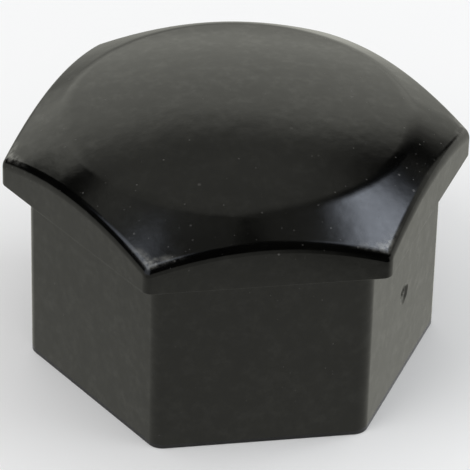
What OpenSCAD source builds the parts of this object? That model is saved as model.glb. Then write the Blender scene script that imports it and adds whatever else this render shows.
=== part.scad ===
// Cover cap for a hexagonal wheel bolt head, moulded in one piece.
// The cap stands on the open mouth of its skirt: z = 0 is the rim, +Z runs up through the crown,
// and two of the six flats face +Y and -Y.

/* [Bolt head] */
// Width across the flats of the bolt head that the cap covers
bolt_af = 17; // [15:0.5:21]
// Gap between the bolt head and each flat of the socket
bolt_gap = 0.2; // [0.1:0.05:0.4]

/* [Skirt] */
// Thickness of the skirt wall
skirt_wall = 1.05; // [0.8:0.05:1.6]
// Height of the skirt, from the rim to the underside of the head
skirt_height = 11; // [8:0.5:16]
// Radius of the skirt's upright outer corners
skirt_corner_r = 1.3; // [0.6:0.1:2.5]
// Radius of the socket's inner corners
socket_corner_r = 0.5; // [0.2:0.1:1]

/* [Head] */
// How far the head stands out past each flat of the skirt
head_overhang = 1.25; // [0.8:0.05:2]
// Height of the head's upright side where two flats meet
side_height = 1.4; // [1:0.1:3]
// Radius of the head's upright corners
head_corner_r = 0.5; // [0.3:0.1:1.2]
// Slope of the conical chamfer, in degrees below level
chamfer_slope = 31; // [24:1:38]
// Distance in from the flats to the ring where the chamfer meets the crown
crown_inset = 1.8; // [1:0.1:3]
// Rise of the domed crown above that ring
crown_rise = 1.2; // [0.6:0.1:2.4]
// Radius of the rounded edge between the chamfer and the flats
edge_r = 0.55; // [0.3:0.05:0.8]
// Thickness of the roof, measured square to its surface
roof_wall = 1.8; // [1.2:0.1:2.4]

/* [Grip ribs] */
// Width of the upright rib on each flat of the socket
rib_width = 1; // [0.6:0.1:2]
// How far each rib would bite into the bolt head, which holds the cap on
rib_bite = 0.05; // [0:0.01:0.1]
// Height above the rim where the ribs begin
rib_start = 1.2; // [0.5:0.1:3]
// Height over which a rib ramps up to its full depth
rib_lead = 1.6; // [0.8:0.1:3]

/* [Gate mark] */
// Diameter of the shallow dimple round the moulding gate, on one flat of the skirt
gate_d = 1.25; // [0.8:0.05:1.6]
// Depth of the dimple
gate_depth = 0.2; // [0.1:0.05:0.4]
// Diameter of the gate stub left standing in the dimple
gate_stub_d = 0.5; // [0.3:0.05:0.7]
// Height of the stub above the dimple's floor
gate_stub_height = 0.1; // [0.05:0.05:0.1]
// Height of the middle of the dimple above the rim
gate_height = 5.5; // [3:0.5:7]

/* [Hidden] */
$fn = 96;
flats = 6;
turn = 360 / flats;
// Number of short faces that round an upright corner
corner_steps = 8;
// Length that a cut runs past the surface it opens
past = 1;
socket_af = bolt_af + 2 * bolt_gap;
skirt_af = socket_af + 2 * skirt_wall;
head_af = skirt_af + 2 * head_overhang;
// Radius on which two flats of the head would meet if the corner were sharp
head_point_r = head_af / 2 / cos(turn / 2);
ring_r = head_af / 2 - crown_inset;
// Height of the chamfer's cone at the sharp corners and at the crown's ring
cone_foot_z = skirt_height + side_height;
ring_z = cone_foot_z + (head_point_r - ring_r) * tan(chamfer_slope);
dome_r = (ring_r * ring_r + crown_rise * crown_rise) / (2 * crown_rise);
dome_centre_z = ring_z + crown_rise - dome_r;
top_z = ring_z + crown_rise;
// Flat that carries the gate mark, counted anticlockwise from the one that faces 30 degrees off +X
gate_flat = 5;
// Rise of the edge between chamfer and flat, from the head's corners to the middle of a flat
edge_rise = (head_point_r - head_af / 2) * tan(chamfer_slope);
// Radius of the arc that the edge follows over one flat
half_flat = head_point_r * sin(turn / 2);
edge_arc_r = (half_flat * half_flat + edge_rise * edge_rise) / (2 * edge_rise);
edge_arc_z = cone_foot_z + edge_rise - edge_arc_r;
// Angle at which the rounded edge meets the flat: it is half that at which it meets the chamfer
edge_cross = 8;

// Upright hexagonal bar with rounded corners, standing on z = 0
module hex_bar(across_flats, corner_r, height) {
    centre_r = (across_flats / 2 - corner_r) / cos(turn / 2);
    linear_extrude(height)
        polygon([
            for (k = [0 : flats - 1], step = [0 : corner_steps])
                let (side = (step / corner_steps - 0.5) * turn)
                    [centre_r * cos(k * turn) + corner_r * cos(k * turn + side),
                     centre_r * sin(k * turn) + corner_r * sin(k * turn + side)]
        ]);
}

// Solid under the crown's dome and the chamfer's cone, drawn in by a distance from both
module under_crown(inset) {
    foot_z = cone_foot_z - inset / cos(chamfer_slope);
    base_r = head_point_r + (foot_z + past) / tan(chamfer_slope);
    intersection() {
        translate([0, 0, dome_centre_z])
            sphere(r = dome_r - inset);
        translate([0, 0, -past])
            cylinder(r1 = base_r, r2 = 0, h = base_r * tan(chamfer_slope));
    }
}

// Lens-shaped turned blank on a level axis: its rim rounds the top edge over two opposite flats
module edge_blank() {
    arc_y = head_af / 2 - edge_r * cos(edge_cross);
    arc_x = edge_arc_r - edge_r * cos(edge_cross) * tan((90 - chamfer_slope) / 2);
    slope = chamfer_slope + 2 * edge_cross;
    side_y = head_af / 2 + past;
    tangent = [arc_x + edge_r * cos(slope), arc_y + edge_r * sin(slope)];
    middle_x = tangent[0] + tangent[1] * tan(slope);
    rotate([90, 0, 0])
        rotate_extrude() {
            polygon([
                [0, -side_y],
                [arc_x, -side_y],
                [arc_x, -arc_y],
                [tangent[0], -tangent[1]],
                [middle_x, 0],
                tangent,
                [arc_x, arc_y],
                [arc_x, side_y],
                [0, side_y]
            ]);
            for (side = [-1, 1])
                translate([arc_x, side * arc_y])
                    circle(r = edge_r);
        }
}

// Head before its top edges are rounded
module head_blank() {
    intersection() {
        translate([0, 0, skirt_height])
            hex_bar(head_af, head_corner_r, top_z);
        under_crown(0);
    }
}

// Head with the top edges rounded over a number of pairs of opposite flats, one pair after another
module head(pairs) {
    if (pairs == 0)
        head_blank();
    else
        intersection() {
            head(pairs - 1);
            rotate(pairs * turn)
                translate([0, 0, edge_arc_z])
                    edge_blank();
        }
}

module skirt() {
    hex_bar(skirt_af, skirt_corner_r, skirt_height + past);
}

// Upright rib on the flat that faces +X before it is turned into place, with a ramp at its foot
module grip_rib() {
    proud = bolt_gap + rib_bite;
    flat_x = socket_af / 2;
    rotate([90, 0, 0])
        linear_extrude(rib_width, center = true)
            polygon([
                [flat_x, rib_start],
                [flat_x - proud, rib_start + rib_lead],
                [flat_x - proud, top_z],
                [flat_x + past, top_z],
                [flat_x + past, rib_start]
            ]);
}

// Hollow that takes the bolt head: the hexagonal socket under its roof, less the grip ribs
module socket() {
    difference() {
        intersection() {
            translate([0, 0, -past])
                hex_bar(socket_af, socket_corner_r, top_z);
            under_crown(roof_wall);
        }
        for (k = [0 : flats - 1])
            rotate((k + 0.5) * turn)
                grip_rib();
    }
}

module gate_mark() {
    rotate((gate_flat + 0.5) * turn)
        translate([skirt_af / 2 - gate_depth, 0, gate_height])
            rotate([0, 90, 0])
                difference() {
                    cylinder(d = gate_d, h = gate_depth + past);
                    translate([0, 0, -past])
                        cylinder(d = gate_stub_d, h = past + gate_stub_height);
                }
}

module cap() {
    color([0.11, 0.11, 0.12])
        difference() {
            union() {
                skirt();
                head(flats / 2);
            }
            socket();
            gate_mark();
        }
}

cap();
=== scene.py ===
"""Black moulded cover cap for a hexagonal wheel bolt head, standing on a pale studio floor."""

import math

import bpy
import numpy as np
from bpy.props import FloatProperty, FloatVectorProperty, PointerProperty
from mathutils import Matrix, Vector


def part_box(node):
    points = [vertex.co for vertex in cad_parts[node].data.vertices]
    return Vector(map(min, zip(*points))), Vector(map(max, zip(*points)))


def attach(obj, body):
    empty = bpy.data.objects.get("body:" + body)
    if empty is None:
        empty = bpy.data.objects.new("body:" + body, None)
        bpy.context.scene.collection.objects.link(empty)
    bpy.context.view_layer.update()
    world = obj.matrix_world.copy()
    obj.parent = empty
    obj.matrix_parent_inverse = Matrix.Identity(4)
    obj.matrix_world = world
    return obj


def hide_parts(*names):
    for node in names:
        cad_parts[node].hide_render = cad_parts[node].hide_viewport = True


bl_info = {
    "name": "Wheel Bolt Cover Cap",
    "version": (1, 0, 0),
    "blender": (4, 5, 0),
    "location": "3D View > Sidebar > Cover Cap",
    "description": "Builds a domed hexagonal cover cap and the studio that it is photographed in",
    "category": "Object",
}

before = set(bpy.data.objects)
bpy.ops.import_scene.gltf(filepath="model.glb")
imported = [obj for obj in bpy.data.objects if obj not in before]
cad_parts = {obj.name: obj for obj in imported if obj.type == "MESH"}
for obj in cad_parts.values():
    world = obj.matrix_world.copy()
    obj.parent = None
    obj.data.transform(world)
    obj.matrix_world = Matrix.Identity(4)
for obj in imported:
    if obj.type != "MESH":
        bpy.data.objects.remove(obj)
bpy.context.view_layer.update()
CAP_LOW, CAP_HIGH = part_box("cap")

FLATS = 6
TURN = math.tau / FLATS
# Flat that carries the gate mark, counted anticlockwise from the one that faces 30 degrees off +X
GATE_FLAT = 5
UP = np.array([0.0, 0.0, 1.0])
# Height of the point on the cap's axis from which the studio's directions are measured
STUDIO_MIDDLE = 0.012


def length_setting(name, description, default):
    """A size that a user may change, in metres"""
    return FloatProperty(name=name, description=description, default=default, unit="LENGTH")


def angle_setting(name, description, default):
    """An angle that a user may change, in radians"""
    return FloatProperty(name=name, description=description, default=default, unit="ROTATION")


def share_setting(name, description, default):
    """An amount between 0 and 1 that a user may change"""
    return FloatProperty(
        name=name, description=description, default=default, subtype="FACTOR", min=0, max=1
    )


def colour_setting(name, description, default):
    """A colour that a user may change"""
    return FloatVectorProperty(
        name=name, description=description, default=default, subtype="COLOR", size=3, min=0, max=1
    )


class CapShape(bpy.types.PropertyGroup):
    """Sizes of the moulding"""

    head_width: length_setting(
        "Head width",
        "Width of the head across its flats",
        CAP_HIGH.y - CAP_LOW.y,
    )
    head_corner: length_setting("Head corners", "Radius of the head's upright corners", 0.0006)
    side_height: length_setting(
        "Side height",
        "Height of the head's upright side where two flats meet",
        0.0014,
    )
    chamfer_slope: angle_setting(
        "Chamfer slope",
        "Fall of the conical chamfer below level",
        math.radians(31),
    )
    crown_inset: length_setting(
        "Crown inset",
        "Distance in from the flats to the ring where the chamfer meets the crown",
        0.0018,
    )
    crown_rise: length_setting("Crown rise", "Rise of the domed crown above its ring", 0.0012)
    ring_blend: length_setting(
        "Ring blend",
        "Half width of the blend between the crown and the chamfer",
        0.00035,
    )
    chamfer_bulge: length_setting(
        "Chamfer fullness",
        "How far the chamfer swells out between the ring and the corners",
        0.00004,
    )
    edge_round: length_setting(
        "Edge rounding",
        "Radius of the edge between chamfer and flat, at the middle of a flat",
        0.00073,
    )
    edge_corner: length_setting(
        "Edge at corners",
        "Radius of that edge where two flats meet",
        0.0007,
    )
    lip_round: length_setting(
        "Lip rounding",
        "Radius of the small edges under the head and round the rim",
        0.00006,
    )
    skirt_width: length_setting("Skirt width", "Width of the skirt across its flats", 0.0195)
    skirt_height: length_setting(
        "Skirt height",
        "Height of the skirt, from the rim to the underside of the head",
        0.011,
    )
    skirt_corner: length_setting("Skirt corners", "Radius of the skirt's upright corners", 0.0009)
    socket_width: length_setting("Socket width", "Width of the socket across its flats", 0.0174)
    socket_corner: length_setting("Socket corners", "Radius of the socket's corners", 0.0005)
    roof_wall: length_setting(
        "Roof wall",
        "Thickness of the roof, measured square to its surface",
        0.0018,
    )
    rib_width: length_setting(
        "Rib width",
        "Width of the grip rib on each flat of the socket",
        0.001,
    )
    rib_proud: length_setting("Rib height", "How far a grip rib stands out from its flat", 0.00025)
    rib_start: length_setting(
        "Rib start",
        "Height above the rim where the grip ribs begin",
        0.0012,
    )
    rib_lead: length_setting("Rib ramp", "Height over which a grip rib ramps up", 0.0016)
    gate_width: length_setting(
        "Gate dimple",
        "Diameter of the shallow dimple round the moulding gate",
        0.00125,
    )
    gate_depth: length_setting("Gate depth", "Depth of the gate dimple", 0.00011)
    gate_stub: length_setting(
        "Gate stub",
        "Diameter of the stub left standing in the dimple",
        0.0005,
    )
    gate_stub_height: length_setting(
        "Gate stub height",
        "Height of the stub above the dimple's floor",
        0.00006,
    )
    gate_height: length_setting(
        "Gate position",
        "Height of the middle of the gate dimple above the rim",
        0.0055,
    )


class CapFinish(bpy.types.PropertyGroup):
    """Colour, gloss, film and dust of the moulded plastic, and the highlight painted on the head's
    top corners
    """

    colour: colour_setting("Plastic", "Colour of the moulded plastic", (0.0005, 0.0005, 0.0004))
    dust_colour: colour_setting(
        "Dust",
        "Colour of the fine dust that lies on the plastic",
        (0.16, 0.155, 0.145),
    )
    # Pale colour painted on the head's top corners as a highlight
    painted_highlight_colour: colour_setting(
        "Highlight",
        "Colour of the highlighted plastic on the head's corners",
        (0.8, 0.79, 0.72),
    )
    # Strength of the highlight painted on the head's top corners
    painted_highlight: share_setting("Corner wear", "Strength of the scuffs on the head's corners", 0.23)
    roughness: share_setting("Roughness", "Roughness of the plastic where it is clean", 0.14)
    film: share_setting(
        "Release film",
        "Weight of the blotchy film that the mould's release agent leaves",
        0.19,
    )
    grain_depth: FloatProperty(
        name="Grain depth",
        description="Depth of the fine unevenness that the mould leaves",
        default=0.000002,
        unit="LENGTH",
        precision=7,
    )


class StudioSetup(bpy.types.PropertyGroup):
    """Camera, lamps and floor"""

    view_azimuth: angle_setting(
        "Camera azimuth",
        "Angle of the camera round the cap, from -Y towards +X",
        math.radians(-9.2585),
    )
    view_elevation: angle_setting(
        "Camera elevation",
        "Angle of the camera above the floor",
        math.radians(34.8104),
    )
    view_roll: angle_setting(
        "Camera roll",
        "Turn of the camera about its own axis",
        math.radians(1.4792),
    )
    view_distance: length_setting(
        "Camera distance",
        "Distance from the camera to the point that it looks at",
        0.210689,
    )
    view_height: length_setting(
        "Aim height",
        "Height of the point that the camera looks at",
        0.0066575,
    )
    view_side: length_setting(
        "Aim offset",
        "Distance of that point to the right of the cap's axis",
        -0.0000308,
    )
    lens: FloatProperty(
        name="Focal length",
        description="Focal length of the camera, in millimetres on a 36 mm frame",
        default=297.65,
    )
    floor_colour: colour_setting("Floor", "Colour of the studio floor", (0.92, 0.92, 0.92))
    left_light: FloatProperty(
        name="Left light",
        description="Brightness of the left lamp on the floor and the dust, where 1 is white",
        default=2,
    )
    right_light: FloatProperty(
        name="Right light",
        description="Brightness of the right lamp on the floor and the dust, where 1 is white",
        default=1.9,
    )
    core_light: FloatProperty(
        name="Right core",
        description="Extra brightness of the right lamp at its end nearer the sweep",
        default=2.6,
    )


class Columns:
    """The upright lines of the cap's surface, which every ring of its mesh shares"""

    def __init__(self):
        corner_steps = 12
        gate_step, gate_steps = 0.0205, 12
        # Shares of half a flat: close together at a rib's edge and in the window of the gate mark
        rib = [0.0972, 0.10245, 0.10562, 0.10879, 0.11407]
        wide = [0.17, 0.25, 0.36, 0.48, 0.6, 0.72, 0.84, 0.93]
        plain = sorted([0.05] + rib + wide)
        gate = sorted([k * gate_step for k in range(1, gate_steps + 1)] + rib + wide[2:])
        self.gate_edge = gate_steps * gate_step
        corners, angles, along, on_flat = [], [], [], []
        for k in range(FLATS):
            for step in range(corner_steps + 1):
                corners.append(k)
                angles.append((k + step / corner_steps - 0.5) * TURN)
                along.append(0.0)
                on_flat.append(False)
            half = gate if k == GATE_FLAT else plain
            for s in [-s for s in reversed(half)] + [0.0] + half:
                corners.append(k)
                angles.append((k + 0.5) * TURN)
                along.append(s)
                on_flat.append(True)
        self.corner = np.array(corners)
        self.angle = np.array(angles)
        self.along = np.array(along)
        self.on_flat = np.array(on_flat)
        self.count = len(corners)
        self.out = np.stack([np.cos(self.angle), np.sin(self.angle), 0 * self.angle], axis=1)
        self.tangent = np.stack([-self.out[:, 1], self.out[:, 0], 0 * self.angle], axis=1)

    def outline(self, width, radius):
        """Points of a hexagon with rounded corners, one on each column, at height 0"""
        reach = (width / 2 - radius) / math.cos(TURN / 2)
        half = (width / 2 - radius) * math.tan(TURN / 2)
        at = self.corner * TURN
        middle = reach * np.stack([np.cos(at), np.sin(at), 0 * at], axis=1)
        corner = middle + radius * self.out
        flat = width / 2 * self.out + (self.along * half)[:, None] * self.tangent
        return np.where(self.on_flat[:, None], flat, corner)

    def flat_offset(self, width, radius):
        """Distance of each column from the middle of its flat, and a large one on the corners"""
        half = (width / 2 - radius) * math.tan(TURN / 2)
        return np.where(self.on_flat, self.along * half, 1.0)

    def gate_span(self):
        """First and last column of the window that is left for the gate mark"""
        on_gate = np.flatnonzero(self.on_flat & (self.corner == GATE_FLAT))
        inside = on_gate[np.abs(self.along[on_gate]) <= self.gate_edge + 1e-6]
        return int(inside[0]), int(inside[-1])


class Rings:
    """The rings of points and normals that the cap's skin is stretched over"""

    def __init__(self):
        self.points = []
        self.normals = []

    def add(self, points, normals):
        """Adds one ring"""
        self.points.append(points)
        self.normals.append(normals)

    def line(self, first, last, normals, steps, skip_last=False):
        """Rings along a straight line from one ring to another"""
        for k in range(1, steps + (0 if skip_last else 1)):
            self.add(first + (last - first) * k / steps, normals)

    def arc(self, centre, radius, first, last, steps, hollow=False):
        """Rings round a small edge, which turn from one unit direction to another"""
        turn = np.arccos(np.clip((first * last).sum(1), -1, 1))[:, None]
        for k in range(steps + 1):
            share = k / steps
            side = (np.sin((1 - share) * turn) * first + np.sin(share * turn) * last) / np.sin(turn)
            self.add(centre + radius * side, -side if hollow else side)


def placed(local, angle):
    """Points or directions drawn for a flat that faces +X, turned to face other ways"""
    x = local[:, 0] * np.cos(angle) - local[:, 1] * np.sin(angle)
    y = local[:, 0] * np.sin(angle) + local[:, 1] * np.cos(angle)
    return np.stack([x, y, local[:, 2]], axis=1)


def raised(points, height):
    """The points at a height, or at a height of their own"""
    moved = points.copy()
    moved[:, 2] = height
    return moved


def lengths(points):
    """Distance of each point from the cap's axis"""
    return np.hypot(points[:, 0], points[:, 1])


def everywhere(columns, direction):
    """One direction, repeated for every column"""
    return np.tile(np.array(direction, float), (columns.count, 1))


class Crown:
    """Profile of the head's top: the dome, the ring that blends it into the chamfer, the chamfer"""

    def __init__(self, shape):
        self.fall = math.tan(shape.chamfer_slope)
        self.bulge = shape.chamfer_bulge
        self.blend = shape.ring_blend
        self.point_r = shape.head_width / 2 / math.cos(TURN / 2)
        self.ring_r = shape.head_width / 2 - shape.crown_inset
        self.wide = self.point_r - self.ring_r
        self.ring_z = shape.skirt_height + shape.side_height + self.wide * self.fall
        self.top_z = self.ring_z + shape.crown_rise
        self.dome_r = (self.ring_r**2 + shape.crown_rise**2) / (2 * shape.crown_rise)
        self.dome_z = self.top_z - self.dome_r

    def dome(self, radius):
        """Height and fall of the dome at a distance from the axis"""
        height = np.sqrt(self.dome_r**2 - radius**2)
        return self.dome_z + height, radius / height

    def chamfer(self, radius):
        """Height and fall of the slightly full chamfer at a distance from the axis"""
        share = (radius - self.ring_r) / self.wide
        height = self.ring_z - self.wide * share * self.fall
        height = height + 4 * self.bulge * share * (1 - share)
        return height, self.fall - 4 * self.bulge * (1 - 2 * share) / self.wide

    def profile(self, radius):
        """Height and fall of the whole top, with the ring blended"""
        inner, outer = self.ring_r - self.blend, self.ring_r + self.blend
        reach = outer - inner
        first, first_fall = self.dome(inner)
        last, last_fall = self.chamfer(outer)
        t = np.clip((radius - inner) / reach, 0, 1)
        height = (2 * t**3 - 3 * t**2 + 1) * first + (3 * t**2 - 2 * t**3) * last
        height -= ((t**3 - 2 * t**2 + t) * first_fall + (t**3 - t**2) * last_fall) * reach
        fall = (3 * t**2 - 4 * t + 1) * first_fall + (3 * t**2 - 2 * t) * last_fall
        fall += 6 * (t - t**2) * (first - last) / reach
        on_dome = self.dome(np.minimum(radius, inner))
        on_chamfer = self.chamfer(np.maximum(radius, outer))
        kept = []
        for blended, before, after in zip((height, fall), on_dome, on_chamfer):
            kept.append(np.where(radius < inner, before, np.where(radius > outer, after, blended)))
        return kept


def turned(first, last, share):
    """Unit directions part of the way from one set to another"""
    turn = np.arccos(np.clip((first * last).sum(1), -1, 1))[:, None]
    size = np.maximum(np.sin(turn), 1e-9)
    mixed = (np.sin((1 - share) * turn) * first + np.sin(share * turn) * last) / size
    return np.where(turn < 1e-6, last, mixed)


def edge_on_flat(crown, shape, along, share):
    """Points and normals of the rounded top edge over a flat that faces +X"""
    middle = shape.head_width / 2 * math.tan(TURN / 2)
    edge = shape.edge_round + (shape.edge_corner - shape.edge_round) * (along / middle) ** 2
    inner = np.stack([shape.head_width / 2 - edge, along, 0 * along], axis=1)
    inner_r = lengths(inner)
    contact_r = inner_r
    # The distance at which the rounding touches the top settles within a few rounds
    for _ in range(8):
        height, fall = crown.profile(contact_r)
        tilt = np.arctan(fall)
        contact_r = inner_r + edge * np.sin(tilt)
    first = inner / inner_r[:, None] * np.sin(tilt)[:, None] + UP * np.cos(tilt)[:, None]
    last = np.tile([1.0, 0.0, 0.0], (len(along), 1))
    normal = turned(first, last, share)
    return raised(inner, height - edge * np.cos(tilt)) + edge[:, None] * normal, normal


def edge_row(columns, crown, shape, share):
    """One row of the rounded top edge: share 0 lies on the chamfer and 1 on the upright side"""
    across = np.array([-math.sin(TURN / 2), math.cos(TURN / 2), 0.0])
    half = (shape.head_width / 2 - shape.head_corner) * math.tan(TURN / 2)
    # Half the width of the corner where the row lies on the chamfer, which has no corner of its own
    narrowest = 0.000015
    for _ in range(40):
        point, normal = edge_on_flat(crown, shape, np.array([half]), share)
        gap = shape.head_corner * abs(float(normal[0] @ across)) + narrowest * (1 - share)
        half -= (float(point[0] @ across) + gap) / math.cos(TURN / 2)

    local, facing = edge_on_flat(crown, shape, columns.along * half, share)
    points = placed(local, columns.angle)
    normals = placed(facing, columns.angle)

    # On a corner the row is a smooth curve between the ends of the two flats
    step = half * 1e-4
    ends, end_normals = edge_on_flat(crown, shape, np.array([half, half - step]), share)
    forward = (ends[0] - ends[1]) / np.linalg.norm(ends[0] - ends[1])
    mirror = np.array([1.0, -1.0, 1.0])
    size = (columns.count, 1)
    before = (columns.corner - 0.5) * TURN
    after = (columns.corner + 0.5) * TURN
    start = placed(np.tile(ends[0], size), before)
    start_way = placed(np.tile(forward, size), before)
    start_normal = placed(np.tile(end_normals[0], size), before)
    end = placed(np.tile(ends[0] * mirror, size), after)
    end_way = placed(np.tile(forward * -mirror, size), after)
    end_normal = placed(np.tile(end_normals[0] * mirror, size), after)
    bend = np.arccos(np.clip((start_normal * end_normal).sum(1), -1, 1))
    pull = (np.linalg.norm(end - start, axis=1) / np.cos(bend / 4) ** 2)[:, None]
    u = ((columns.angle - before) / TURN)[:, None]
    curve = (
        (2 * u**3 - 3 * u**2 + 1) * start
        + (u**3 - 2 * u**2 + u) * pull * start_way
        + (3 * u**2 - 2 * u**3) * end
        + (u**3 - u**2) * pull * end_way
    )
    on_flat = columns.on_flat[:, None]
    points = np.where(on_flat, points, curve)
    normals = np.where(on_flat, normals, turned(start_normal, end_normal, u))
    return points, normals


def add_crown(rings, columns, shape):
    """The domed crown, its ring, the conical chamfer and the rounded edge"""
    crown = Crown(shape)
    contact, _ = edge_row(columns, crown, shape, 0.0)
    contact_r = lengths(contact)
    plan = raised(contact, 0.0) / contact_r[:, None]
    inner, outer = crown.ring_r - crown.blend, crown.ring_r + crown.blend
    dome_steps, ring_steps, chamfer_steps, edge_steps = 22, 12, 14, 18
    radii = [inner * k / dome_steps + 0 * contact_r for k in range(1, dome_steps)]
    for k in range(ring_steps):
        radii.append(inner + (outer - inner) * k / ring_steps + 0 * contact_r)
    radii += [outer + (contact_r - outer) * k / chamfer_steps for k in range(chamfer_steps)]
    for radius in radii:
        height, fall = crown.profile(radius)
        tilt = np.arctan(fall)
        points = plan * radius[:, None] + UP * height[:, None]
        rings.add(points, plan * np.sin(tilt)[:, None] + UP * np.cos(tilt)[:, None])
    for k in range(edge_steps + 1):
        points, normals = edge_row(columns, crown, shape, k / edge_steps)
        rings.add(points, normals)


def add_outside(rings, columns, shape):
    """The head's side and underside, the skirt and its rim; gives the rings of the gate window"""
    lip = shape.lip_round
    down = everywhere(columns, -UP)
    head = columns.outline(shape.head_width, shape.head_corner)
    skirt = columns.outline(shape.skirt_width, shape.skirt_corner)
    under_z = shape.skirt_height

    foot = rings.points[-1]
    rings.line(foot, raised(head, under_z + lip), columns.out, 4, skip_last=True)
    centre = raised(head - lip * columns.out, under_z + lip)
    rings.arc(centre, lip, columns.out, down, 5)
    inner_end = raised(skirt + lip * columns.out, under_z)
    rings.line(centre - UP * lip, inner_end, down, 5, skip_last=True)
    centre = inner_end - UP * lip
    rings.arc(centre, lip, -down, -columns.out, 5, hollow=True)

    # Half the height of the window that is left for the gate mark
    window_half = 0.0012
    window_top = shape.gate_height + window_half
    window_low = shape.gate_height - window_half
    rings.line(raised(skirt, under_z - lip), raised(skirt, window_top), columns.out, 6)
    first = len(rings.points) - 1
    rings.line(raised(skirt, window_top), raised(skirt, window_low), columns.out, 24)
    last = len(rings.points) - 1
    rings.line(raised(skirt, window_low), raised(skirt, lip), columns.out, 6, skip_last=True)
    rings.arc(raised(skirt - lip * columns.out, lip), lip, columns.out, down, 5)
    return first, last


def add_socket(rings, columns, shape):
    """The rim's inner edge, the socket with its ribs, and the ceiling; gives the number of its
    first ring and the height of the ceiling's middle"""
    lip = shape.lip_round
    down = everywhere(columns, -UP)
    socket = columns.outline(shape.socket_width, shape.socket_corner)
    rim = raised(socket + lip * columns.out, 0.0)
    start = rings.points[-1]
    rings.line(start, rim, down, 3, skip_last=True)
    rings.arc(rim + UP * lip, lip, down, -columns.out, 4)

    crown = Crown(shape)
    wall = shape.roof_wall

    def ceiling_z(radius):
        cone = crown.ring_z - (radius - crown.ring_r) * crown.fall
        cone = cone - wall / math.cos(shape.chamfer_slope)
        dome = crown.dome_z + np.sqrt((crown.dome_r - wall) ** 2 - radius**2)
        return np.minimum(cone, dome)

    offset = np.abs(columns.flat_offset(shape.socket_width, shape.socket_corner))
    # Width over which a rib's side slopes back to the flat
    blend = 0.00008
    share = np.clip((shape.rib_width / 2 + blend / 2 - offset) / blend, 0, 1)
    profile = share * share * (3 - 2 * share)

    def wall_at(height):
        ramp = min(max((height - shape.rib_start) / shape.rib_lead, 0), 1)
        return socket - columns.out * (profile * ramp * shape.rib_proud)[:, None]

    wall_steps, bend_steps, ceiling_steps = 8, 5, 18
    below_ribs = [0.0006, 0.001, 0.00115]
    first = len(rings.points)
    for height in below_ribs:
        rings.add(raised(wall_at(height), height), -columns.out)
    for k in range(wall_steps + 1):
        height = shape.rib_start + shape.rib_lead * k / wall_steps
        rings.add(raised(wall_at(height), height), -columns.out)
    full = wall_at(shape.skirt_height)
    radius = lengths(full)
    top = ceiling_z(radius)
    # Size of the bend from the walls into the ceiling
    soft = 0.00025
    low = shape.rib_start + shape.rib_lead
    for k in range(1, wall_steps + 1):
        rings.add(raised(full, low + (top - soft - low) * k / wall_steps), -columns.out)
    inward = full / radius[:, None]
    above = inward * (radius - soft)[:, None] + UP * ceiling_z(radius - soft)[:, None]
    corner = raised(full, top)
    below = raised(full, top - soft)
    for k in range(1, bend_steps):
        t = k / bend_steps
        bent = below * (1 - t) ** 2 + corner * 2 * t * (1 - t) + above * t**2
        rings.add(bent, down)
    for k in range(ceiling_steps):
        reach = (radius - soft) * (1 - k / ceiling_steps)
        rings.add(inward * reach[:, None] + UP * ceiling_z(reach)[:, None], down)
    return first, float(ceiling_z(np.zeros(1))[0])


def surface_normals(points, first):
    """Normals of the rings from one on, from the directions to their neighbours"""
    across = np.roll(points, -1, axis=1) - np.roll(points, 1, axis=1)
    downward = np.gradient(points, axis=0)
    normals = np.cross(downward, across)[first:]
    size = np.linalg.norm(normals, axis=2, keepdims=True)
    return normals / np.maximum(size, 1e-20)


def gate_profile(shape):
    """Radius, depth and tilt of the normal for each ring of the gate mark, from outside in"""
    half = shape.gate_width / 2
    foot = half / 2
    stub = shape.gate_stub / 2
    around = [0.00098, 0.0008]
    side_steps, stub_steps, stub_top = 10, 7, 0.7
    steps = [(radius, 0.0, 0.0) for radius in around]
    for k in range(side_steps + 1):
        t = k / side_steps
        tilt = math.atan(6 * t * (1 - t) * shape.gate_depth / (half - foot))
        steps.append((half + (foot - half) * t, shape.gate_depth * t * t * (3 - 2 * t), -tilt))
    for k in range(stub_steps + 1):
        t = k / stub_steps
        tilt = math.atan(6 * t * (1 - t) * shape.gate_stub_height / (stub * stub_top))
        height = shape.gate_stub_height * t * t * (3 - 2 * t)
        steps.append((stub * (1 - stub_top * t), shape.gate_depth - height, tilt))
    return steps


def add_gate(points, normals, faces, columns, shape, window):
    """Fills the window left in one flat of the skirt with the dimple and stub of the gate mark"""
    count = columns.count
    first, last = window
    left, right = columns.gate_span()
    loop = [last * count + c for c in range(left, right)]
    loop += [r * count + right for r in range(last, first, -1)]
    loop += [first * count + c for c in range(right, left, -1)]
    loop += [r * count + left for r in range(first, last)]

    out = Vector(columns.out[left])
    side = Vector(columns.tangent[left])
    centre = out * (shape.skirt_width / 2) + Vector((0, 0, shape.gate_height))
    angles = []
    for index in loop:
        place = Vector(points[index]) - centre
        angles.append(math.atan2(place.z, place.dot(side)))
    ring = loop
    for number, (radius, depth, tilt) in enumerate(gate_profile(shape)):
        made = []
        for angle in angles:
            # The mark's edge is a little ragged, and its upper side is the deeper one
            ragged = 1.0
            if number > 1:
                ragged += 0.06 * math.sin(3 * angle + 1) + 0.04 * math.sin(7 * angle)
            deeper = 1 + 0.4 * math.sin(angle) + 0.1 * math.sin(5 * angle)
            lean = tilt * deeper
            spoke = side * math.cos(angle) + Vector((0, 0, 1)) * math.sin(angle)
            made.append(len(points))
            points.append(tuple(centre + spoke * radius * ragged - out * depth * deeper))
            normals.append(tuple(out * math.cos(lean) + spoke * math.sin(lean)))
        for k in range(len(ring)):
            after = (k + 1) % len(ring)
            faces.append((ring[k], ring[after], made[after], made[k]))
        ring = made
    middle = len(points)
    floor = shape.gate_depth - shape.gate_stub_height
    points.append(tuple(centre - out * floor))
    normals.append(tuple(out))
    for k in range(len(ring)):
        faces.append((ring[k], ring[(k + 1) % len(ring)], middle))


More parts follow.
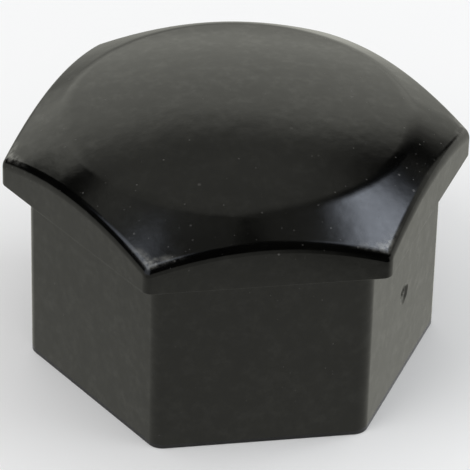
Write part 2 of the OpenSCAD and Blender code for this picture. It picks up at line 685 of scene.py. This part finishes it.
def cap_mesh(shape):
    """The whole skin of the cap as one closed mesh"""
    columns = Columns()
    rings = Rings()
    add_crown(rings, columns, shape)
    window = add_outside(rings, columns, shape)
    inside, ceiling = add_socket(rings, columns, shape)
    grid = np.array(rings.points)
    facing = np.array(rings.normals)
    facing[inside:] = surface_normals(grid, inside)

    count = columns.count
    points = [tuple(p) for p in grid.reshape(-1, 3)]
    normals = [tuple(n) for n in facing.reshape(-1, 3)]
    left, right = columns.gate_span()
    faces = []
    for r in range(len(grid) - 1):
        in_rows = window[0] <= r < window[1]
        for c in range(count):
            if in_rows and left <= c < right:
                continue
            after = (c + 1) % count
            faces.append(
                (r * count + c, (r + 1) * count + c, (r + 1) * count + after, r * count + after)
            )

    top = len(points)
    points.append((0.0, 0.0, Crown(shape).top_z))
    normals.append((0.0, 0.0, 1.0))
    under = len(points)
    points.append((0.0, 0.0, ceiling))
    normals.append((0.0, 0.0, -1.0))
    last = (len(grid) - 1) * count
    for c in range(count):
        after = (c + 1) % count
        faces.append((top, c, after))
        faces.append((under, last + after, last + c))
    add_gate(points, normals, faces, columns, shape, window)

    mesh = bpy.data.meshes.new("cover_cap")
    mesh.from_pydata(points, [], faces)
    mesh.polygons.foreach_set("use_smooth", [True] * len(mesh.polygons))
    mesh.validate()
    mesh.normals_split_custom_set_from_vertices(normals)
    mesh.update()
    return mesh


class Wire:
    """One output of a shader node, with Python's operators standing for Math nodes"""

    def __init__(self, graph, socket):
        self.graph = graph
        self.socket = socket

    def join(self, operation, *values):
        """A Math node on this wire and other wires or numbers"""
        inputs = dict(enumerate((self, *values)))
        return self.graph.node("ShaderNodeMath", {"operation": operation}, inputs)["Value"]

    def __add__(self, other):
        return self.join("ADD", other)

    __radd__ = __add__

    def __sub__(self, other):
        return self.join("SUBTRACT", other)

    def __rsub__(self, other):
        return (self * -1) + other

    def __mul__(self, other):
        return self.join("MULTIPLY", other)

    __rmul__ = __mul__

    def __truediv__(self, other):
        return self.join("DIVIDE", other)

    def __gt__(self, other):
        return self.join("GREATER_THAN", other)

    def rises(self, low, high):
        """0 below one value and 1 above another, with a smooth step between them"""
        settings = {"interpolation_type": "SMOOTHSTEP", "clamp": True}
        inputs = {"Value": self, "From Min": low, "From Max": high}
        return self.graph.node("ShaderNodeMapRange", settings, inputs)["Result"]

    def between(self, low, high, soft):
        """1 between two values and 0 outside them, with smooth edges of a given half width"""
        return self.rises(low - soft, low + soft) * (1 - self.rises(high - soft, high + soft))


class Graph:
    """The node tree of a material or of the world"""

    def __init__(self, owner):
        owner.use_nodes = True
        self.tree = owner.node_tree
        self.tree.nodes.clear()

    def node(self, kind, settings=None, inputs=None):
        """Adds a node, sets its settings and then its sockets, and gives its outputs by name"""
        made = self.tree.nodes.new(kind)
        for name, value in (settings or {}).items():
            setattr(made, name, value)
        for name, value in (inputs or {}).items():
            if isinstance(name, int):
                socket = made.inputs[name]
            else:
                socket = next(s for s in made.inputs if s.enabled and s.name == name)
            if isinstance(value, Wire):
                self.tree.links.new(value.socket, socket)
            else:
                socket.default_value = value
        return {s.name: Wire(self, s) for s in made.outputs if s.enabled}

    def shade(self, amount, colour, under):
        """A colour times an amount, added to the colour under it"""
        inputs = {0: amount, 1: colour, 2: under}
        return self.node("ShaderNodeVectorMath", {"operation": "MULTIPLY_ADD"}, inputs)["Vector"]


def moulded_plastic(finish):
    """Black plastic with the mould's grain, a blotchy film, a little dust, and a highlight painted
    on the head's top corners
    """
    material = bpy.data.materials.new("moulded_black_plastic")
    graph = Graph(material)
    place = graph.node("ShaderNodeTexCoord")["Object"]

    def noise(scale, detail):
        inputs = {"Vector": place, "Scale": scale, "Detail": detail, "Roughness": 0.6}
        return graph.node("ShaderNodeTexNoise", None, inputs)["Fac"]

    # Unevenness that is about 4 mm, 2 mm and 0.4 mm across
    cloud = noise(260, 3)
    wave = noise(420, 2)
    grain = noise(2600, 4)

    # Dust settles in patches, and most of all on the chamfer
    parts = graph.node("ShaderNodeSeparateXYZ", None, {"Vector": place})
    radius = (parts["X"] * parts["X"] + parts["Y"] * parts["Y"]).join("SQRT")
    on_chamfer = radius.rises(0.0084, 0.0094) * parts["Z"].rises(0.0118, 0.0126)
    settled = noise(150, 2).rises(0.38, 0.62) * 0.35 + on_chamfer * 0.9 + 0.12

    def specks(scale, size, share):
        inputs = {"Vector": place, "Scale": scale, "Randomness": 1}
        cells = graph.node("ShaderNodeTexVoronoi", None, inputs)
        chance = graph.node("ShaderNodeSeparateColor", None, {"Color": cells["Color"]})
        reach = cells["Distance"] / (chance["Green"] * chance["Green"] + 0.35)
        chosen = chance["Red"] > 1 - settled * share
        return (1 - reach.rises(size * 0.4, size)) * chosen * (chance["Blue"] * 0.8 + 0.2)

    dust = specks(1300, 0.13, 0.5) + specks(2600, 0.16, 0.6) * 0.7

    # Painted highlight: pale patches on the rounded top edge at the head's six corners, in place of
    # the softboxes' reflections there
    to_flat = parts["Y"].join("ABSOLUTE")
    for side in (1, -1):
        slanted = parts["X"] * math.cos(TURN / 2) + parts["Y"] * (side * math.sin(TURN / 2))
        to_flat = to_flat.join("MAXIMUM", slanted.join("ABSOLUTE"))
    at_corner = radius.rises(0.0115, 0.0123) * parts["Z"].rises(0.01205, 0.0124)
    on_edge = to_flat.between(0.01038, 0.01077, 0.00012)
    painted_highlight_mask = on_edge * at_corner * noise(2600, 3).rises(0.3, 0.75)

    def mixed(share, first, second):
        inputs = {"Factor": share, "A": first, "B": second}
        return graph.node("ShaderNodeMix", {"data_type": "RGBA"}, inputs)["Result"]

    lighter = (*[c * 3 for c in finish.colour], 1)
    tint = mixed(cloud.rises(0.35, 0.7), (*finish.colour, 1), lighter)
    colour = mixed(dust * 0.36, tint, (*finish.dust_colour, 1))
    # Paints the pale corner highlight into the base colour
    colour = mixed(painted_highlight_mask * finish.painted_highlight, colour, (*finish.painted_highlight_colour, 1))
    # Both noises are about 0.5, so 0.07 is what they add
    roughness = cloud * 0.08 + grain * 0.06 + dust * 0.3 + (finish.roughness - 0.07)
    blotches = noise(1000, 3).rises(0.36, 0.68) * noise(2400, 2).rises(0.3, 0.7)
    height = wave * 9 + cloud * 5 + grain * 1.5
    inputs = {"Height": height, "Distance": finish.grain_depth, "Strength": 1}
    bump = graph.node("ShaderNodeBump", None, inputs)["Normal"]
    inputs = {
        "Base Color": colour,
        "Roughness": roughness,
        "IOR": 1.48,
        "Normal": bump,
        "Coat Weight": blotches * finish.film,
        "Coat Roughness": 0.16,
    }
    surface = graph.node("ShaderNodeBsdfPrincipled", None, inputs)["BSDF"]
    graph.node("ShaderNodeOutputMaterial", None, {"Surface": surface})
    return material


def pale_floor(studio):
    """Matt pale board"""
    material = bpy.data.materials.new("pale_floor")
    graph = Graph(material)
    surface = graph.node(
        "ShaderNodeBsdfPrincipled",
        None,
        {"Base Color": (*studio.floor_colour, 1), "Roughness": 0.9, "Specular IOR Level": 0.0},
    )["BSDF"]
    graph.node("ShaderNodeOutputMaterial", None, {"Surface": surface})
    return material


# Tints of the studio's light, as the plastic reflects it
WARM = (1.0, 1.0, 0.9)
COOL = (0.85, 0.92, 1.05)

# Brightness of the white table near the cap, which lies all round it
NEAR_TABLE = 0.58

# Other parts of the studio that the plastic reflects. Each has two azimuths, two elevations, the
# softness of either pair of edges, a brightness where 1 is white, and a tint.
# Azimuths run from behind the cap round to the camera's right, and all angles are in degrees.
SURROUND = (
    # Table further out: left, right, behind and in front on the left
    (-135, -45, -22, 2, 8, 3, 0.5, WARM),
    (45, 118, -22, 4, 8, 3, 0.6, WARM),
    (-45, 5, -22, 4, 8, 3, 0.35, WARM),
    (5, 45, -22, 4, 8, 3, 0.65, WARM),
    (-200, -135, -22, 0, 8, 3, 0.35, WARM),
    # Low pale wall on the right
    (48, 96, 4, 32, 6, 7, 0.4, WARM),
    # Wall below the left softbox
    (-165, -112, 0, 38, 6, 4, 0.7, COOL),
    # Left softbox, and the right one with its bright core
    (-154, -93, 36, 67, 10, 6, 2.3, COOL),
    (58, 122, 36, 61, 10, 7, 2.0, COOL),
    (60, 100, 43, 58, 10, 6, 2.8, COOL),
    # Ceiling on the left, in the middle and on the right
    (-190, -85, 70, 100, 20, 5, 0.2, WARM),
    (-85, 30, 48, 100, 20, 6, 0.45, WARM),
    (30, 130, 62, 100, 20, 8, 0.2, WARM),
)


def surround_glow():
    """White sweep behind the cap, pale patches and dark studio, as the plastic reflects them"""
    material = bpy.data.materials.new("studio_surround")
    graph = Graph(material)
    place = graph.node("ShaderNodeTexCoord")["Object"]
    parts = graph.node("ShaderNodeSeparateXYZ", None, {"Vector": place})
    x, y = parts["X"], parts["Y"]
    z = parts["Z"] - STUDIO_MIDDLE
    level = (x * x + y * y).join("SQRT")
    degree = 180 / math.pi
    height = z.join("ARCTAN2", level) * degree
    side = x.join("ARCTAN2", y) * degree

    # The sweep's left edge leans out and its right edge leans in, and it fades at its foot and top
    left_edge = (side + height.rises(24, 38) * 8).rises(-48, -42)
    right_edge = (side + height.rises(18, 48) * 14).rises(20, 42)
    upright = (height.rises(0, 4) * 0.45 + height.rises(3, 11) * 0.6) * (1 - height.rises(34, 52))
    near = 1 - height.rises(-25, -19)
    dark = (0.01, 0.01, 0.01)
    glow = graph.shade(near * NEAR_TABLE, WARM, dark)
    glow = graph.shade(left_edge * (1 - right_edge) * upright, WARM, glow)
    for left, right, low, high, soft_side, soft_height, brightness, tint in SURROUND:
        across = side.between(left, right, soft_side)
        # A patch that crosses the line in front of the cap is drawn on both sides of it
        if left < -180:
            across = across + side.between(left + 360, right + 360, soft_side)
        patch = across * height.between(low, high, soft_height)
        glow = graph.shade(patch * brightness, tint, glow)
    light = graph.node("ShaderNodeEmission", None, {"Color": glow, "Strength": 1})
    graph.node("ShaderNodeOutputMaterial", None, {"Surface": light["Emission"]})
    return material


def add_object(name, data):
    """A new object in the scene"""
    made = bpy.data.objects.new(name, data)
    bpy.context.scene.collection.objects.link(made)
    return made


def disc_mesh(name, radius, height, steps=96):
    """A flat round sheet of rings and spokes"""
    points = [(0.0, 0.0, height)]
    faces = []
    shares = [0.05, 0.15, 0.4, 1.0]
    for share in shares:
        for k in range(steps):
            a = math.tau * k / steps
            points.append((radius * share * math.cos(a), radius * share * math.sin(a), height))
    for k in range(steps):
        after = (k + 1) % steps
        faces.append((0, 1 + k, 1 + after))
        for r in range(len(shares) - 1):
            low = 1 + r * steps
            faces.append((low + k, low + steps + k, low + steps + after, low + after))
    mesh = bpy.data.meshes.new(name)
    mesh.from_pydata(points, [], faces)
    return mesh


def surround_mesh(name, foot, outer, turn):
    """A half sphere round the cap with a level brim that runs in close above the floor"""
    steps, rises, brim_rows = 180, 32, 16
    brim = 0.0002
    # The brim starts as a hexagon round the skirt, is round from one row on, and widens from there
    round_row, round_radius, widening = 5, 0.02, 1.4
    rows = []
    for k in range(brim_rows):
        even = min(k / round_row, 1.0)
        wider = widening ** max(k - round_row, 0)
        row = []
        for n in range(steps):
            side = (math.tau * n / steps + turn) % TURN - TURN / 2
            wall = foot / 2 / math.cos(side)
            row.append((wall * (1 - even) + round_radius * even) * wider)
        rows.append((row, brim))
    for k in range(rises):
        a = math.pi / 2 * k / rises
        rows.append(([outer * math.cos(a)] * steps, brim + outer * math.sin(a)))
    points, faces = [], []
    for row, height in rows:
        for k in range(steps):
            a = math.tau * k / steps
            points.append((row[k] * math.cos(a), row[k] * math.sin(a), height))
    for r in range(len(rows) - 1):
        for k in range(steps):
            after = (k + 1) % steps
            low = r * steps
            faces.append((low + k, low + after, low + steps + after, low + steps + k))
    top = len(points)
    points.append((0.0, 0.0, brim + outer))
    low = (len(rows) - 1) * steps
    for k in range(steps):
        faces.append((low + k, low + (k + 1) % steps, top))
    mesh = bpy.data.meshes.new(name)
    mesh.from_pydata(points, [], faces)
    return mesh


def add_softbox(name, studio, sides, heights, brightness, colour):
    """An area lamp that faces the cap, between two azimuths and two elevations in degrees. The
    plastic's reflections come from the surround, and so the lamp doesn't show in them"""
    reach = 0.25
    elevation = math.radians(sum(heights) / 2)
    turn = studio.view_azimuth - math.radians(sum(sides) / 2)
    flat = math.cos(elevation)
    away = Vector((-math.sin(turn) * flat, math.cos(turn) * flat, math.sin(elevation)))
    wide = 2 * reach * math.tan(math.radians(sides[1] - sides[0]) * flat / 2)
    tall = 2 * reach * math.tan(math.radians(heights[1] - heights[0]) / 2)
    lamp = bpy.data.lights.new(name, "AREA")
    lamp.shape = "RECTANGLE"
    lamp.size = wide
    lamp.size_y = tall
    lamp.color = colour
    lamp.energy = brightness * math.pi * wide * tall
    made = add_object(name, lamp)
    made.location = away * reach + Vector((0, 0, STUDIO_MIDDLE))
    made.rotation_mode = "QUATERNION"
    made.rotation_quaternion = away.to_track_quat("Z", "Y")
    made.visible_camera = False
    made.visible_glossy = False


def aim_camera(studio):
    """The camera at the photograph's viewing angle"""
    turn, lift, roll = studio.view_azimuth, studio.view_elevation, studio.view_roll
    back = Vector(
        (math.sin(turn) * math.cos(lift), -math.cos(turn) * math.cos(lift), math.sin(lift))
    )
    right = Vector((math.cos(turn), math.sin(turn), 0))
    up = back.cross(right)
    across = right * math.cos(roll) + up * math.sin(roll)
    upward = up * math.cos(roll) - right * math.sin(roll)
    aim = Vector((0, 0, studio.view_height)) + right * studio.view_side
    place = aim + back * studio.view_distance
    camera = bpy.data.cameras.new("camera")
    camera.sensor_width = 36
    camera.lens = studio.lens
    camera.clip_start = 0.01
    camera.clip_end = 50
    made = add_object("camera", camera)
    axes = Matrix((across, upward, back)).transposed().to_4x4()
    made.matrix_world = Matrix.Translation(place) @ axes
    bpy.context.scene.camera = made


class OBJECT_OT_cover_cap(bpy.types.Operator):
    """Build the cover cap in place of the plain CAD solid"""

    bl_idname = "object.cover_cap"
    bl_label = "Cover Cap"

    def execute(self, context):
        made = add_object("cover_cap", cap_mesh(context.scene.cap_shape))
        made.data.materials.append(moulded_plastic(context.scene.cap_finish))
        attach(made, "root")
        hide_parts("cap")
        return {"FINISHED"}


class SCENE_OT_cap_studio(bpy.types.Operator):
    """Build the floor, the studio's surround, the lamps, the world and the camera"""

    bl_idname = "scene.cap_studio"
    bl_label = "Studio"

    def execute(self, context):
        studio = context.scene.cap_studio
        floor = add_object("floor", disc_mesh("floor", 3.0, 0.0))
        floor.data.materials.append(pale_floor(studio))
        clearance, studio_radius = 0.0001, 0.6
        foot = context.scene.cap_shape.skirt_width + clearance
        shell = surround_mesh("studio_surround", foot, studio_radius, studio.view_azimuth)
        surround = add_object("studio_surround", shell)
        surround.rotation_euler.z = studio.view_azimuth
        glow = surround_glow()
        glow.cycles.emission_sampling = "NONE"
        surround.data.materials.append(glow)
        surround.visible_camera = False
        surround.visible_diffuse = False
        surround.visible_shadow = False
        surround.visible_transmission = False

        white = (1, 1, 1)
        bluish = (0.93, 0.97, 1.0)
        for name, sides, heights, brightness, colour in (
            ("left_softbox", (-154, -93), (36, 67), studio.left_light, white),
            ("right_softbox", (60, 121), (38, 61), studio.right_light, bluish),
            ("right_core", (60, 80), (44, 59), studio.core_light, bluish),
        ):
            add_softbox(name, studio, sides, heights, brightness, colour)

        # White where it is seen, and a little less where it lights dull surfaces
        light_level = 0.75
        world = bpy.data.worlds.new("studio_white")
        graph = Graph(world)
        ray = graph.node("ShaderNodeLightPath")
        seen = ray["Is Camera Ray"].join("MAXIMUM", ray["Is Glossy Ray"])
        seen = seen.join("MAXIMUM", ray["Is Transmission Ray"])
        shine = graph.node(
            "ShaderNodeBackground",
            None,
            {"Color": (1, 1, 1, 1), "Strength": seen * (1 - light_level) + light_level},
        )
        graph.node("ShaderNodeOutputWorld", None, {"Surface": shine["Background"]})
        context.scene.world = world
        context.scene.view_settings.view_transform = "Standard"
        aim_camera(studio)
        return {"FINISHED"}


class VIEW3D_PT_cover_cap(bpy.types.Panel):
    """Sizes, finish and studio of the cover cap"""

    bl_label = "Cover Cap"
    bl_space_type = "VIEW_3D"
    bl_region_type = "UI"
    bl_category = "Cover Cap"

    def draw(self, context):
        layout = self.layout
        groups = [
            (OBJECT_OT_cover_cap, [context.scene.cap_shape, context.scene.cap_finish]),
            (SCENE_OT_cap_studio, [context.scene.cap_studio]),
        ]
        for operator, settings in groups:
            layout.operator(operator.bl_idname)
            for group in settings:
                for name in group.bl_rna.properties.keys():
                    if name not in ("rna_type", "name"):
                        layout.prop(group, name)


CLASSES = (
    CapShape,
    CapFinish,
    StudioSetup,
    OBJECT_OT_cover_cap,
    SCENE_OT_cap_studio,
    VIEW3D_PT_cover_cap,
)


def register():
    for cls in CLASSES:
        bpy.utils.register_class(cls)
    bpy.types.Scene.cap_shape = PointerProperty(type=CapShape)
    bpy.types.Scene.cap_finish = PointerProperty(type=CapFinish)
    bpy.types.Scene.cap_studio = PointerProperty(type=StudioSetup)


def unregister():
    del bpy.types.Scene.cap_studio
    del bpy.types.Scene.cap_finish
    del bpy.types.Scene.cap_shape
    for cls in reversed(CLASSES):
        bpy.utils.unregister_class(cls)


def main():
    register()
    bpy.ops.scene.cap_studio()
    bpy.ops.object.cover_cap()


if __name__ == "__main__":
    main()
